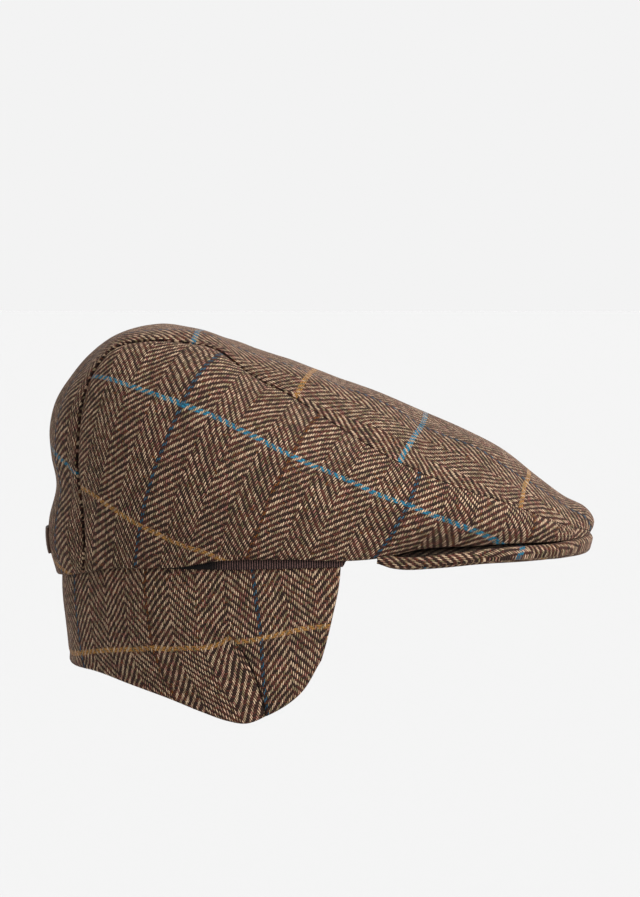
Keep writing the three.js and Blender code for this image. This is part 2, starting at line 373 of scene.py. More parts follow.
SEAM_STEP = 0.0006
SEAM_ROLL = 0.0007  # radius with which the cloth rolls down into a seam
SEAM_SLIT = 0.00014  # half the width of the slit between the two rolled edges
SLIT_DEPTH = 0.0016
SEAM_DEPTH = 0.0032  # where the two edges end, below the cloth's face
SEAM_BLEND = 0.006  # how far from it a panel's own direction has taken over from the seam's
SEAM_TURNS = {"from": 0.12, "over": 0.04}  # how far up from the rim it turns over onto the top
SEAM_EASES = {"from": -0.004, "over": 0.036, "pale": 0.7}  # where along the cap it eases towards the peak, and how much of its painted shade fades there
# How far up from the rim its hem presses the back seam flat, how much shallower it is there, and how much of
# its painted shade it loses.
HEM_PRESS = {"height": 0.0145, "over": 0.004, "shallow": 0.75, "pale": 0.85}
DARKEST_SEAM = {"up": 0.003, "reach": 0.004, "dark": 0.6}  # where above the hem the seam is darkest
ALLOWANCE = {"width": 0.0062, "over": 0.0016, "lift": 0.0006}  # of the edges turned in under the strip
SIDE_DIP = {"depth": 0.0006, "reach": 0.0028}  # of the side panel's edge, drawn down beside the seam
SEAM_SHADE_WIDTH = (0.0004, 0.0005)  # how far the seam's painted shade spreads on the strip and the side panel
# How unevenly the stitches follow one another, how far they are on beside the side panel, and how far
# their knots, where the seam's painted shade is lighter, are on from their pull.
STITCH = {"length": 0.0027, "uneven": 0.35, "over": 0.0061, "beside": 0.2, "knot": 1.2}
PUCKER = {"back": 0.00002, "top": 0.00014, "over": 0.02, "reach": 0.0024}
GATHER = {"height": 0.0002, "over": 0.0037, "drift": 0.017, "reach": 0.008}

# The seam's shares of these sizes, of its painted shade and of how much the knots lighten it, up the back,
# over the top and towards the peak.
ROLL_SHARES = (0.8, 0.65, 0.35)
SLIT_SHARES = (0.7, 0.5, 0.2)
STEP_SHARES = (1, 0.7, 0.2)
SEAM_SHADE_SHARES = (0.66, 0.6, 0.6)
KNOT_SHARES = (0.1, 0.38, 0.38)

HEM_WIDTH = {"seam": 0.010, "end": 0.012, "over": 0.0015}  # how far in a panel's cloth is doubled
TUCK = 0.004  # how far in from the seam a panel's back goes down to the seam's depth


class Seam:
    """The line where the centre strip meets a side panel, on the right side."""

    def __init__(self):
        row = evenly(lambda r: strip_point(r, 1), 0, STRIP_END, SEAM_STEP)
        self.line = strip_point(row, 1)
        self.gone = lengths(self.line, 0)
        inside = strip_point(row, 0.94) - self.line
        beyond = self.side_neighbour(row) - self.line
        self.ahead = unit(np.gradient(self.line, axis=0))
        from_strip = np.cross(self.ahead, inside)
        from_side = np.cross(beyond, self.ahead)
        self.normal = self.evened(unit(unit(from_strip) + unit(from_side)))

    @staticmethod
    def side_neighbour(row):
        """A point of the side panel a little way in from the seam."""
        panel_row = np.maximum(row, TURN + 0.2)
        down = np.where(row < TURN, np.clip(1 - row / TURN, 0.03, 0.99), 0.03)
        return side_point(panel_row, down)

    @staticmethod
    def evened(normal, width=25):
        window = np.hanning(width)
        padded = np.pad(normal, ((width // 2, width // 2), (0, 0)), mode="edge")
        return unit(np.stack([np.convolve(padded[:, k], window, "valid") for k in range(3)], axis=-1))

    def near(self, grid):
        """Each point's distance from the seam, how far along it the nearest place is, and its normal."""
        sign = np.where(grid[..., 1:2] > 0, -1, 1)
        to_right = np.concatenate([sign * 0 + 1, sign, sign * 0 + 1], axis=-1)
        flat = (grid * to_right).reshape(-1, 3)
        nearest = np.empty(len(flat), int)
        for part in np.array_split(np.arange(len(flat)), max(1, len(flat) // 4000)):
            nearest[part] = 2 * ((flat[part, None] - self.line[None, ::2]) ** 2).sum(-1).argmin(1)
        offset = flat - self.line[nearest]
        past = (offset * self.ahead[nearest]).sum(-1)
        distance = np.linalg.norm(offset - past[:, None] * self.ahead[nearest], axis=-1)
        shape = grid.shape[:-1]
        normal = self.normal[nearest].reshape(grid.shape) * to_right
        return distance.reshape(shape), (self.gone[nearest] + past).reshape(shape), normal


def seamed(grid, normal, seam, side_of_seam):
    """The face of a panel with its edge rolled down into the seam and puckered by the stitches. The
    strip (side_of_seam 0) lies over both turned-in edges and stands proud of the side panel (1)."""
    distance, along, seam_normal = seam.near(grid)
    direction = unit(lerp(seam_normal, normal, smooth(distance / SEAM_BLEND)[..., None]))
    over_top = smooth((along - SEAM_TURNS["from"]) / SEAM_TURNS["over"])
    forward = smooth((grid[..., 0] - SEAM_EASES["from"]) / SEAM_EASES["over"])
    hemmed = smooth((HEM_PRESS["height"] - along) / HEM_PRESS["over"])

    def share(back, top, front):
        return back + (top - back) * over_top + (front - top) * forward

    radius = SEAM_ROLL * share(*ROLL_SHARES)
    roll = np.clip(1 - (distance - SEAM_SLIT) / radius, 0, 1)
    depth = radius * (1 - np.sqrt(1 - roll**2 * 0.999))
    depth += SLIT_DEPTH * share(*SLIT_SHARES) * np.clip(1 - distance / SEAM_SLIT, 0, 1)
    depth *= 1 - HEM_PRESS["shallow"] * hemmed
    if side_of_seam == 0:
        step = ALLOWANCE["lift"] * smooth((ALLOWANCE["width"] - distance) / ALLOWANCE["over"])
    else:
        step = -SIDE_DIP["depth"] * fading(distance / SIDE_DIP["reach"])
    step = step * share(*STEP_SHARES)

    drift = STITCH["uneven"] * np.sin(along / STITCH["over"])
    beat = along / STITCH["length"] + drift + STITCH["beside"] * side_of_seam
    topped = smooth((along - SEAM_TURNS["from"]) / PUCKER["over"])
    pull = lerp(PUCKER["back"], PUCKER["top"], topped)
    pucker = pull * np.sin(2 * np.pi * beat) * fading(distance / PUCKER["reach"])
    wave = np.sin(along / GATHER["over"] + side_of_seam + np.sin(along / GATHER["drift"]))
    gather = GATHER["height"] * wave * fading(distance / GATHER["reach"])
    lift = (pucker + gather) * np.clip(distance / SEAM_ROLL, 0, 1) + step - depth

    # Painted shade along the seam's slit: lighter at the stitch knots, darker a little above the hem, and
    # paler where the hem presses the seam flat and towards the peak.
    knots = 0.5 + 0.5 * np.sin(2 * np.pi * beat + STITCH["knot"])
    dark = (share(*SEAM_SHADE_SHARES) - share(*KNOT_SHARES) * knots) * (1 - SEAM_EASES["pale"] * forward)
    near_darkest = fading((along - HEM_PRESS["height"] - DARKEST_SEAM["up"]) / DARKEST_SEAM["reach"])
    dark *= (1 + DARKEST_SEAM["dark"] * near_darkest) * (1 - HEM_PRESS["pale"] * hemmed)
    painted_shade = dark * fading(distance / SEAM_SHADE_WIDTH[side_of_seam])
    return grid + direction * lift[..., None], distance, seam_normal, painted_shade


def crown_layers(grid, normal, seam, side_of_seam, from_end):
    """The face and the back of a crown panel, how far its edge is rounded out and how much painted shade
    each of its points gets in the seam's crease. The cloth is doubled beside the seam and at the panel's
    ends, and its back goes down to the seam's depth where the edge is turned in."""
    face, distance, seam_normal, painted_shade = seamed(grid, normal, seam, side_of_seam)
    places = ((HEM_WIDTH["seam"], distance), (HEM_WIDTH["end"], from_end))
    hem = np.maximum(*(smooth((width - gone) / HEM_WIDTH["over"]) for width, gone in places))
    back = grid - normal * (CLOTH + HEM * hem)[..., None]
    back = lerp(grid - seam_normal * SEAM_DEPTH, back, smooth(distance / TUCK)[..., None])
    bulge = np.where(distance < 0.0001, 0.0, CLOTH / 2).ravel()
    return face, back, bulge, painted_shade


RUMPLES = [  # height in metres, and how fast each rises and falls with x, y and z
    (0.00040, (90, 40, -120)),
    (0.00034, (-60, 110, 75)),
    (0.00026, (170, -60, 90)),
    (0.00014, (260, 150, -190)),
]
RUMPLE_EASES = {"edge": 0.018, "middle": 0.004, "over": 0.02}  # how far it lies flat, and how it eases


def rumpled(grid, outward, seam, from_rim):
    """A panel's points, lifted and sunk a little where the cloth doesn't lie quite flat, and their
    normals. It lies flat beside the seam, along the rim and down the middle of the cap."""
    normal = grid_normals(grid, outward)
    height = 0
    for turn, (size, pace) in enumerate(RUMPLES):
        height = height + size * np.sin(grid @ np.array(pace, float) + turn)
    held = np.minimum(seam.near(grid)[0], from_rim)
    height = height * smooth(held / RUMPLE_EASES["edge"])
    height = height * smooth((np.abs(grid[..., 1]) - RUMPLE_EASES["middle"]) / RUMPLE_EASES["over"])
    grid = grid + normal * height[..., None]
    return grid, grid_normals(grid, outward)


# ---------------------------------------------------------------- the lay of the cloth

LAY_SCALE = 0.1
LAY_STEP = 0.0005
LAY_POINTS = 1500  # how many places of a panel the lay is fitted at
LAY_ROUNDS = 6


def powers(p, centre):
    """Every product of up to three of a point's coordinates."""
    x, y, z = np.moveaxis((p - centre) / LAY_SCALE, -1, 0)
    one = np.ones_like(x)
    terms = [x**i * y**j * z**k for i in range(4) for j in range(4 - i) for k in range(4 - i - j)]
    return np.stack([one * t for t in terms], axis=-1)


def slope(p, way, centre):
    """How fast the products grow from a point of the cloth, in a direction along it."""
    step = LAY_STEP * way
    return (powers(p + step, centre) - powers(p - step, centre)) / (2 * LAY_STEP)


def pinned(lines, cloth, centre):
    """The products at the places where coloured lines run, and what the lay has to be there."""
    rows, values = [], []
    for place, seen in lines:
        for x, z in seen:
            nearest = ((cloth[:, 0] - x) ** 2 + (cloth[:, 2] - z) ** 2).argmin()
            rows.append(powers(np.array([x, cloth[nearest, 1], z]), centre))
            values.append(place)
    return np.array(rows), np.array(values)


def lay_cloth(grid, normal, warps, wefts, tilt, hold):
    """How the cloth lies on a panel. Returns a function that says, for points of the panel, how far
    each lies across the warp and along it.

    warps and wefts say where coloured lines run: each is a place in the cloth and the points, as seen
    from the side, that it passes through. The rest follows with as little stretch as can be. tilt is
    the angle in degrees by which the warp leans forward, hold how firmly the lines are held in place.
    """
    cloth = grid.reshape(-1, 3)
    centre = cloth.mean(0)
    pick = np.arange(0, len(cloth), max(1, len(cloth) // LAY_POINTS))
    p, n = cloth[pick], normal.reshape(-1, 3)[pick]
    ahead = unit(np.cross([0, 0, 1], n))
    upward = np.cross(n, ahead)
    slopes = [slope(p, ahead, centre), slope(p, upward, centre)]
    pins = [pinned(lines, cloth, centre) for lines in (warps, wefts)]
    lean = math.radians(tilt)
    turned = np.tile([math.cos(lean), -math.sin(lean)], (len(p), 1))
    for _ in range(LAY_ROUNDS):
        across = [turned[:, 0], turned[:, 1]]
        along = [-turned[:, 1], turned[:, 0]]
        solved = []
        for wanted, (rows, values) in zip((across, along), pins):
            left = np.concatenate([*slopes, hold * rows])
            right = np.concatenate([*wanted, hold * values])
            solved.append(np.linalg.lstsq(left, right, rcond=None)[0])
        ux, uy, vx, vy = (slopes[k] @ c for c in solved for k in (0, 1))
        turned = unit(np.stack([ux + vy, uy - vx], axis=-1))
    return lambda at: powers(at, centre) @ np.stack(solved, axis=-1)


# ---------------------------------------------------------------- meshes


def mesh_object(name, vertices, faces, cloth_at=None, painted_shade=None):
    """A piece from its points and faces, with the cloth's lay as UVs and how much painted shade each point
    gets, from 0 to 1, as an attribute."""
    mesh = bpy.data.meshes.new(name)
    mesh.from_pydata(np.asarray(vertices).tolist(), [], faces.tolist())
    mesh.update()
    if cloth_at is not None:
        corners = np.empty(len(mesh.loops), np.int32)
        mesh.loops.foreach_get("vertex_index", corners)
        lay = mesh.uv_layers.new(name="cloth")
        lay.uv.foreach_set("vector", cloth_at[corners].astype(np.float32).ravel())
    if painted_shade is not None:
        depth = mesh.attributes.new("painted_shade", "FLOAT", "POINT")
        depth.data.foreach_set("value", painted_shade.astype(np.float32))
    mesh.polygons.foreach_set("use_smooth", np.ones(len(mesh.polygons), bool))
    piece = bpy.data.objects.new(name, mesh)
    bpy.context.scene.collection.objects.link(piece)
    return piece


EDGE_TURNS = (45, 90, 135)  # degrees round a wall's edge at which it has points


def edge_loop(rows, columns):
    """Index of each point round the edge of a grid, and of the point next to it inside."""
    i = [*range(rows), *[rows - 1] * (columns - 2), *range(rows - 1, -1, -1), *[0] * (columns - 2)]
    j = [*[0] * rows, *range(1, columns - 1), *[columns - 1] * rows, *range(columns - 2, 0, -1)]
    i, j = np.array(i), np.array(j)
    inner_i, inner_j = np.clip(i, 1, rows - 2), np.clip(j, 1, columns - 2)
    return i * columns + j, inner_i * columns + inner_j


def edge_ways(middle, cloth_at, edge, inside):
    """At each point of a wall's edge, the direction square out from it, and how fast the cloth's lay
    changes that way."""
    both = (middle, cloth_at)
    along, cloth_along = (np.roll(v[edge], -1, axis=0) - np.roll(v[edge], 1, axis=0) for v in both)
    out, cloth_out = (v[edge] - v[inside] for v in both)
    askew = (out * along).sum(-1, keepdims=True) / np.maximum((along**2).sum(-1, keepdims=True), 1e-12)
    out = out - askew * along
    length = np.maximum(np.linalg.norm(out, axis=-1, keepdims=True), 1e-6)
    return unit(out), (cloth_out - askew * cloth_along) / length


def wall(name, face, back, cloth_at, bulge, back_cloth=None, painted_shade=None):
    """A closed wall of cloth between two grids of points, its edge rounded out as far as bulge says."""
    back_cloth = cloth_at if back_cloth is None else back_cloth
    painted_shade = np.zeros(face.shape[:2]) if painted_shade is None else painted_shade
    rows, columns = face.shape[:2]
    count = rows * columns
    face, back = face.reshape(-1, 3), back.reshape(-1, 3)
    cloth_at, back_cloth = cloth_at.reshape(-1, 2), back_cloth.reshape(-1, 2)
    edge, inside = edge_loop(rows, columns)
    outward, cloth_outward = edge_ways((face + back) / 2, cloth_at, edge, inside)
    bulge = np.broadcast_to(bulge, (count,))[edge][:, None]
    vertices, cloth = [face, back], [cloth_at, back_cloth]
    for turn in EDGE_TURNS:
        turned = math.radians(turn)
        flat = lerp(face[edge], back[edge], (1 - math.cos(turned)) / 2)
        vertices.append(flat + outward * bulge * math.sin(turned))
        gone = min(turn, 180 - turn) / 57  # about 57 degrees go with each radius along the edge
        cloth.append(cloth_at[edge] + cloth_outward * bulge * gone)
    corner = np.arange(count).reshape(rows, columns)
    quads = np.stack([corner[:-1, :-1], corner[1:, :-1], corner[1:, 1:], corner[:-1, 1:]], -1).reshape(-1, 4)
    faces = [quads, quads[:, ::-1] + count]
    turns = (2 * count + k * len(edge) + np.arange(len(edge)) for k in range(len(EDGE_TURNS)))
    ring = [edge, *turns, edge + count]
    for near, far in zip(ring, ring[1:]):
        faces.append(np.stack([near, far, np.roll(far, -1), np.roll(near, -1)], -1))
    faces = np.concatenate(faces)
    vertices = np.concatenate(vertices)
    a, b, c, d = (vertices[faces[:, k]] for k in range(4))
    volume = (a * np.cross(b, c)).sum() + (a * np.cross(c, d)).sum()
    if volume < 0:
        faces = faces[:, ::-1]
    painted_shade = painted_shade.ravel()
    painted_shade = np.concatenate([painted_shade, painted_shade, np.tile(painted_shade[edge], len(EDGE_TURNS))])
    return mesh_object(name, vertices, faces, np.concatenate(cloth), painted_shade)


def mirrored(grid):
    return grid * np.array([1, -1, 1])


# ---------------------------------------------------------------- materials


def maths(operation, reflected=False):
    """A method of Value that adds a Math node."""

    def method(self, *others):
        inputs = [*others, self] if reflected else [self, *others]
        return self.finish.node("Math", {"operation": operation}, dict(enumerate(inputs)))[0]

    return method


class Value:
    """A number that varies over a surface. Arithmetic on it adds the Math nodes."""

    def __init__(self, finish, socket):
        self.finish = finish
        self.socket = socket

    __add__ = __radd__ = maths("ADD")
    __sub__ = maths("SUBTRACT")
    __rsub__ = maths("SUBTRACT", reflected=True)
    __mul__ = __rmul__ = maths("MULTIPLY")
    __truediv__ = maths("DIVIDE")
    __rtruediv__ = maths("DIVIDE", reflected=True)
    __mod__ = maths("FLOORED_MODULO")
    __rmod__ = maths("FLOORED_MODULO", reflected=True)
    __lt__ = maths("LESS_THAN")
    __gt__ = maths("GREATER_THAN")
    whole = maths("FLOOR")
    part = maths("FRACT")
    cosine = maths("COSINE")
    size = maths("ABSOLUTE")
    most = maths("MAXIMUM")
    least = maths("MINIMUM")

    def between(self, low, high):
        """0 below low and 1 above high, with a gentle rise."""
        inputs = {"Value": self, "From Min": low, "From Max": high}
        return self.finish.node("MapRange", {"interpolation_type": "SMOOTHSTEP"}, inputs)[0]


class Finish:
    """A material, made node by node."""

    def __init__(self, name):
        self.material = bpy.data.materials.new(name)
        self.material.use_nodes = True
        self.tree = self.material.node_tree
        self.tree.nodes.clear()
        self.place = self.node("TexCoord")[3]  # metres, on the piece itself

    def node(self, kind, settings=(), inputs=()):
        """Adds a node with its settings, then its inputs' values or links. Returns its outputs in order."""
        made = self.tree.nodes.new("ShaderNode" + kind)
        for name, value in dict(settings).items():
            setattr(made, name, value)
        for name, value in dict(inputs).items():
            socket = made.inputs[name]
            if isinstance(value, Value):
                self.tree.links.new(value.socket, socket)
            else:
                socket.default_value = value
        return [Value(self, socket) for socket in made.outputs if socket.enabled]

    def mix(self, share, a, b, blend="MIX"):
        """A colour between two colours."""
        a, b = (c if isinstance(c, Value) else (*c, 1) for c in (a, b))
        settings = {"data_type": "RGBA", "blend_type": blend}
        return self.node("Mix", settings, {0: share, 6: a, 7: b})[0]

    def noise(self, scale, detail=2.0, roughness=0.5):
        """Cloudy noise from 0 to 1, its scale in clouds for each metre."""
        inputs = {"Vector": self.place, "Scale": scale, "Detail": detail, "Roughness": roughness}
        return self.node("TexNoise", {}, inputs)[0]

    def chance(self, x, y):
        """A random number for each pair of whole numbers."""
        seed = self.node("CombineXYZ", {}, {"X": x, "Y": y})[0]
        return self.node("TexWhiteNoise", {"noise_dimensions": "2D"}, {"Vector": seed})[0]

    def lay(self):
        """How far a place lies across the cloth's warp and along it."""
        lay = self.node("UVMap", {"uv_map": "cloth"})[0]
        across, along, _ = self.node("SeparateXYZ", {}, {"Vector": lay})
        return across, along

    # The painted shade of each point of a piece, from 0 to 1.
    def painted_shade(self):
        return self.node("Attribute", {"attribute_name": "painted_shade"})[2]

    def bump(self, height, strength, distance):
        inputs = {"Strength": strength, "Distance": distance, "Height": height}
        return self.node("Bump", {}, inputs)[0]

    def surface(self, colour, roughness, others):
        """Ends the material with its shader. others holds more of the shader's sockets."""
        inputs = {"Base Color": colour, "Roughness": roughness, **others}
        shader = self.node("BsdfPrincipled", {}, inputs)[0]
        self.node("OutputMaterial", {}, {"Surface": shader})
        return self.material


DARK_YARN = (0.022, 0.0115, 0.0088)
RED_BROWN_YARN = (0.062, 0.020, 0.013)
FAWN_YARN = (0.195, 0.120, 0.070)
ROSE_FAWN_YARN = (0.265, 0.108, 0.085)
OLIVE_YARN = (0.155, 0.125, 0.060)
PALE_YARN = (0.40, 0.285, 0.188)
SKY_YARN = (0.014, 0.100, 0.160)
NAVY_YARN = (0.020, 0.064, 0.100)
GOLD_YARN = (0.22, 0.105, 0.028)
RUST_YARN = (0.108, 0.035, 0.006)
FUZZ_AND_SHEEN = (0.235, 0.155, 0.128)  # the loose fibres' colour, lighter than the cloth, mixed in as a painted sheen where the cloth is seen aslant
FUZZ_AND_SHEEN_VEIL = 0.22

CLOUDS = {  # of what is uneven in the cloth, in clouds for each metre
    "across": 24,
    "along": 29,
    "ends": 330,
    "picks": 260,
    "wool": 1500,
    "wear": 28,
    "fibres": 2300,
    "nap": 2600,
}
CLOTH_DRIFT = 0.0045  # how far the yarns stray from straight lines over the width of a panel
END_DRIFT = 1.0  # and how far each does over a few millimetres, in yarns
PICK_DRIFT = 1.2
WARP_YARN = {"rise": 0.85, "round": 2.9, "uneven": 0.4, "twist": 0.13}
WEFT_YARN = {"rise": 0.6, "round": 0.9}
LINE_WORN = 0.38  # how much of a coloured line the wool round it hides
LINE_ENDS = 1.0  # half the width of a coloured line, in warp yarns
LINE_PICKS = 1.25  # and in weft yarns
FLECKS = 0.025  # share of the crossings that have a rust fleck
SHADES = {"least": 0.80, "float": 0.30, "yarn": 0.12}  # how light a yarn and its floats are
HOLLOW_SHADE = 0.18  # how light painted shade leaves the cloth where one yarn dips under another
PAINTED_SHADE_STRENGTH = 0.8  # how much the painted shade darkens the cloth where it is strongest: in seams, the dart and the peak's cover under the crown


def yarns(f):
    """Which warp and which weft yarn runs at each place, counted across the cloth."""
    across, along = f.lay()
    across += (f.noise(CLOUDS["across"], 2, 0.6) - 0.5) * CLOTH_DRIFT
    along += (f.noise(CLOUDS["along"], 2, 0.6) - 0.5) * CLOTH_DRIFT
    ends = across / END_PITCH + (f.noise(CLOUDS["ends"]) - 0.5) * END_DRIFT
    picks = along / PICK_PITCH + (f.noise(CLOUDS["picks"]) - 0.5) * PICK_DRIFT
    return ends, picks, along


def herringbone(f, ends, picks):
    """Which yarn lies on top: each passes over two and under two, one step on from its neighbour. The
    steps turn round from one stripe of the herringbone to the next, with a clean break.

    Returns how high the cloth stands, how far the warp shows, and a random tone and hue for each float.
    """
    turned = (ends / COLUMN_ENDS).whole() % 2
    lean = turned * 2 - 1
    end, pick = ends.whole(), picks.whole()
    warp_turn = lean * end + picks - 1 + turned * 2
    weft_turn = lean * (ends - 0.5) + pick - 0.5 + turned * 2
    warp_float = (warp_turn / 4 + 0.5).whole()
    weft_float = (weft_turn / 4).whole()
    quarter = math.pi / 2
    twist = (warp_turn - warp_float * 4) * WARP_YARN["twist"]
    warp_tone = f.chance(warp_float, end)
    warp_hue = f.chance(warp_float + 51.5, end)
    weft_tone = f.chance(weft_float, pick)
    from_end = ((ends.part() - 0.5 - twist) * 2).size()
    from_pick = ((picks.part() - 0.5) * 2).size()
    warp_rise = (warp_turn * quarter).cosine() * WARP_YARN["rise"] - from_end * from_end * WARP_YARN["round"]
    warp_rise += (warp_tone - 0.5) * WARP_YARN["uneven"]
    weft_rise = 0 - (weft_turn * quarter).cosine() * WEFT_YARN["rise"]
    weft_rise -= from_pick * from_pick * WEFT_YARN["round"]
    warp_shows = (warp_rise - weft_rise).between(-0.02, 0.16)
    return warp_rise.most(weft_rise), warp_shows, warp_tone, warp_hue, weft_tone


def tweed():
    """Herringbone of fawn warp and dark weft, with lines of blue, gold and rust yarn checked over it."""
    f = Finish("herringbone_tweed")
    ends, picks, along = yarns(f)
    height, warp_shows, warp_tone, warp_hue, weft_tone = herringbone(f, ends, picks)
    end, pick = ends.whole(), picks.whole()

    # Each yarn and each of its floats has its own shade, and the wool in it is mixed.
    mottle = f.noise(CLOUDS["wool"], 3, 0.7)
    fawn = f.mix(warp_hue.between(0.1, 0.55), OLIVE_YARN, FAWN_YARN)
    fawn = f.mix(warp_hue.between(0.6, 1.0), fawn, ROSE_FAWN_YARN)
    light = f.mix((warp_tone * 0.5 + mottle).between(0.45, 1.15), fawn, PALE_YARN)
    dark = f.mix((weft_tone * 0.6 + mottle * 0.6).between(0.45, 0.95), DARK_YARN, RED_BROWN_YARN)

    # The check: two warp yarns of navy or rust, and two or three weft yarns of sky blue or gold.
    check_end = (ends / CHECK_ENDS + 0.5).whole()
    on_check_end = (ends - check_end * CHECK_ENDS).size() < LINE_ENDS
    shown = (mottle + (check_end % 2) * (warp_tone - 0.9) * 0.15) > LINE_WORN
    light = f.mix(on_check_end * shown, light, f.mix(check_end % 2, NAVY_YARN, RUST_YARN))
    check_pick = (along / CHECK + 0.5).whole()
    on_check_pick = (along - check_pick * CHECK).size() < PICK_PITCH * LINE_PICKS
    on_check_pick *= (check_pick - PLAIN_LINE).size() > 0.5
    shown = mottle > LINE_WORN + 0.01
    dark = f.mix(on_check_pick * shown, dark, f.mix(check_pick % 2, SKY_YARN, GOLD_YARN))

    colour = f.mix(warp_shows, dark, light)
    fleck = f.chance(end + 0.5, pick) > 1 - FLECKS
    colour = f.mix(fleck * 0.5, colour, RUST_YARN)
    # Painted sheen: seen aslant, the cloth turns towards the loose fibres' lighter colour.
    fuzz_and_sheen = f.node("LayerWeight", {}, {"Blend": 0.5})[1].between(0.55, 1.0)
    colour = f.mix(fuzz_and_sheen * FUZZ_AND_SHEEN_VEIL, colour, FUZZ_AND_SHEEN)

    tone = SHADES["least"] + warp_tone * SHADES["float"]
    tone += f.chance(end, 3.5) * SHADES["yarn"] + f.chance(7.5, pick) * SHADES["yarn"]
    tone *= (0.84 + f.noise(CLOUDS["wear"], 3) * 0.32) * (0.35 + f.noise(CLOUDS["fibres"], 1) * 1.3)
    # Painted shade: darker where one yarn dips under another and down each yarn's sides, lighter on its
    # crown, and darker in the seams, the dart and under the crown's edge.
    shade = tone * (HOLLOW_SHADE + (1 - HOLLOW_SHADE) * height.between(-1.0, 0.7)) * (1 - f.painted_shade() * PAINTED_SHADE_STRENGTH)
    grey = f.node("CombineColor", {}, {"Red": shade, "Green": shade, "Blue": shade})[0]
    colour = f.mix(1.0, colour, grey, "MULTIPLY")
    gloss = {
        "Normal": f.bump(height * 0.5 + f.noise(CLOUDS["nap"], 2, 0.8) * 0.5, 0.8, 0.0005),
        "Specular IOR Level": 0.1,
        "Sheen Weight": 0.035,
        "Sheen Roughness": 0.35,
        "Sheen Tint": (0.85, 0.62, 0.48, 1),
    }
    return f.surface(colour, 0.88, gloss)


RIB_LIGHT = (0.150, 0.078, 0.068)
RIB_DARK = (0.040, 0.018, 0.015)
RIB_GROOVE_SHADE = (0.002, 0.001, 0.0009)
THREAD_PITCH = 0.00035  # of the fine threads that the ribs are wound with


def grosgrain():
    """Dark brown ribbon: thick ribs across it, wound with fine glossy threads."""
    f = Finish("grosgrain_ribbon")
    across, along = f.lay()
    groove = ((along / RIB_PITCH).part() - 0.5).size() * 2
    thread = ((across / THREAD_PITCH).part() - 0.5).size() * 2
    mottle = f.noise(1800, 2, 0.7)
    rib = f.mix(mottle.between(0.4, 0.7), RIB_LIGHT, RIB_DARK)
    # Painted shade: near black in the grooves between the ribs, and where the ribbon runs on behind the rim.
    dark = (groove.between(0.0, 0.6) + f.painted_shade()).least(1)
    colour = f.mix(dark, rib, RIB_GROOVE_SHADE)
    gloss = {"Normal": f.bump(thread + mottle, 0.5, 0.00015), "Specular IOR Level": 0.12}
    return f.surface(colour, 0.62, gloss)


LEATHER_DARK = (0.050, 0.027, 0.019)
LEATHER_LIGHT = (0.082, 0.046, 0.031)


def tab_leather():
    """Dark brown leather with a fine grain, a little cloudy."""
    f = Finish("tab_leather")
    grain = f.node("TexVoronoi", {"feature": "F1"}, {"Vector": f.place, "Scale": 1500})[0]
    cloud = f.noise(180, 3)
    colour = f.mix(cloud.between(0.35, 0.7), LEATHER_DARK, LEATHER_LIGHT)
    gloss = {"Normal": f.bump(grain, 0.35, 0.0002), "Specular IOR Level": 0.2}
    return f.surface(colour, 0.55 + cloud * 0.2, gloss)


# ---------------------------------------------------------------- the pieces


def dress(piece, node, material):
    piece.data.materials.append(material)
    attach(piece, "root")
    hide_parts(node)
    return piece


def both_sides(half):
    """Values across the whole cap, from those across its right half, the middle's first."""
    return np.concatenate([-half[:0:-1], half])


# How far the strip's blue warp line lies from its middle, at places along the cap.
STRIP_WARP_X = [-0.1, -0.07, 0.06, 0.09, 0.12, 0.14, 0.165]
STRIP_WARP = [0.027, 0.032, 0.033, 0.037, 0.036, 0.027, 0.018]
# Where the strip's weft lines cross its middle, measured from the rim at the back, and how far
# they trail 70 mm out from it.
STRIP_RUN = [0.0, 0.068, 0.1806, 0.2423, 0.3025, 0.3623, 0.42]
STRIP_WEFT = [0.416, 8 * CHECK, 10 * CHECK, 11 * CHECK, 12 * CHECK, 13 * CHECK, 0.8442]
STRIP_BOW = [0.029, 0.029, 0.0060, 0.0132, 0.0124, 0.0078, 0.0078]
BOW_AT = 0.07
STRIP_HALF = 0.062  # half its greatest width, over its arch


def strip_lay(base):
    """How the cloth lies on the centre strip, its warp along it."""
    centre = base.shape[1] // 2
    run = lengths(base, 0)[:, centre : centre + 1]
    across = lengths(base, 1) - lengths(base, 1)[:, centre : centre + 1]
    trail = np.interp(run, STRIP_RUN, STRIP_BOW) * (across / BOW_AT) ** 2
    warp_line = np.interp(base[:, centre : centre + 1, 0], STRIP_WARP_X, STRIP_WARP)
    return np.stack([across - warp_line, np.interp(run + trail, STRIP_RUN, STRIP_WEFT)], axis=-1)


def make_crown_top(seam, material):
    rows = evenly(lambda r: strip_point(r, 0), 0, STRIP_END, STEP)
    across = both_sides(spread(STRIP_HALF, near_start=False))
    row, over = np.meshgrid(rows, across, indexing="ij")
    base = strip_point(row, over)
    base, normal = rumpled(base, (0.2, 0, 1), seam, lengths(base, 0))
    run = lengths(base, 0)
    face, back, bulge, painted_shade = crown_layers(base, normal, seam, 0, np.minimum(run, run[-1:] - run))
    piece = wall("crown_top_cloth", face, back, strip_lay(base), bulge, painted_shade=painted_shade)
    dress(piece, "crown_top", material)


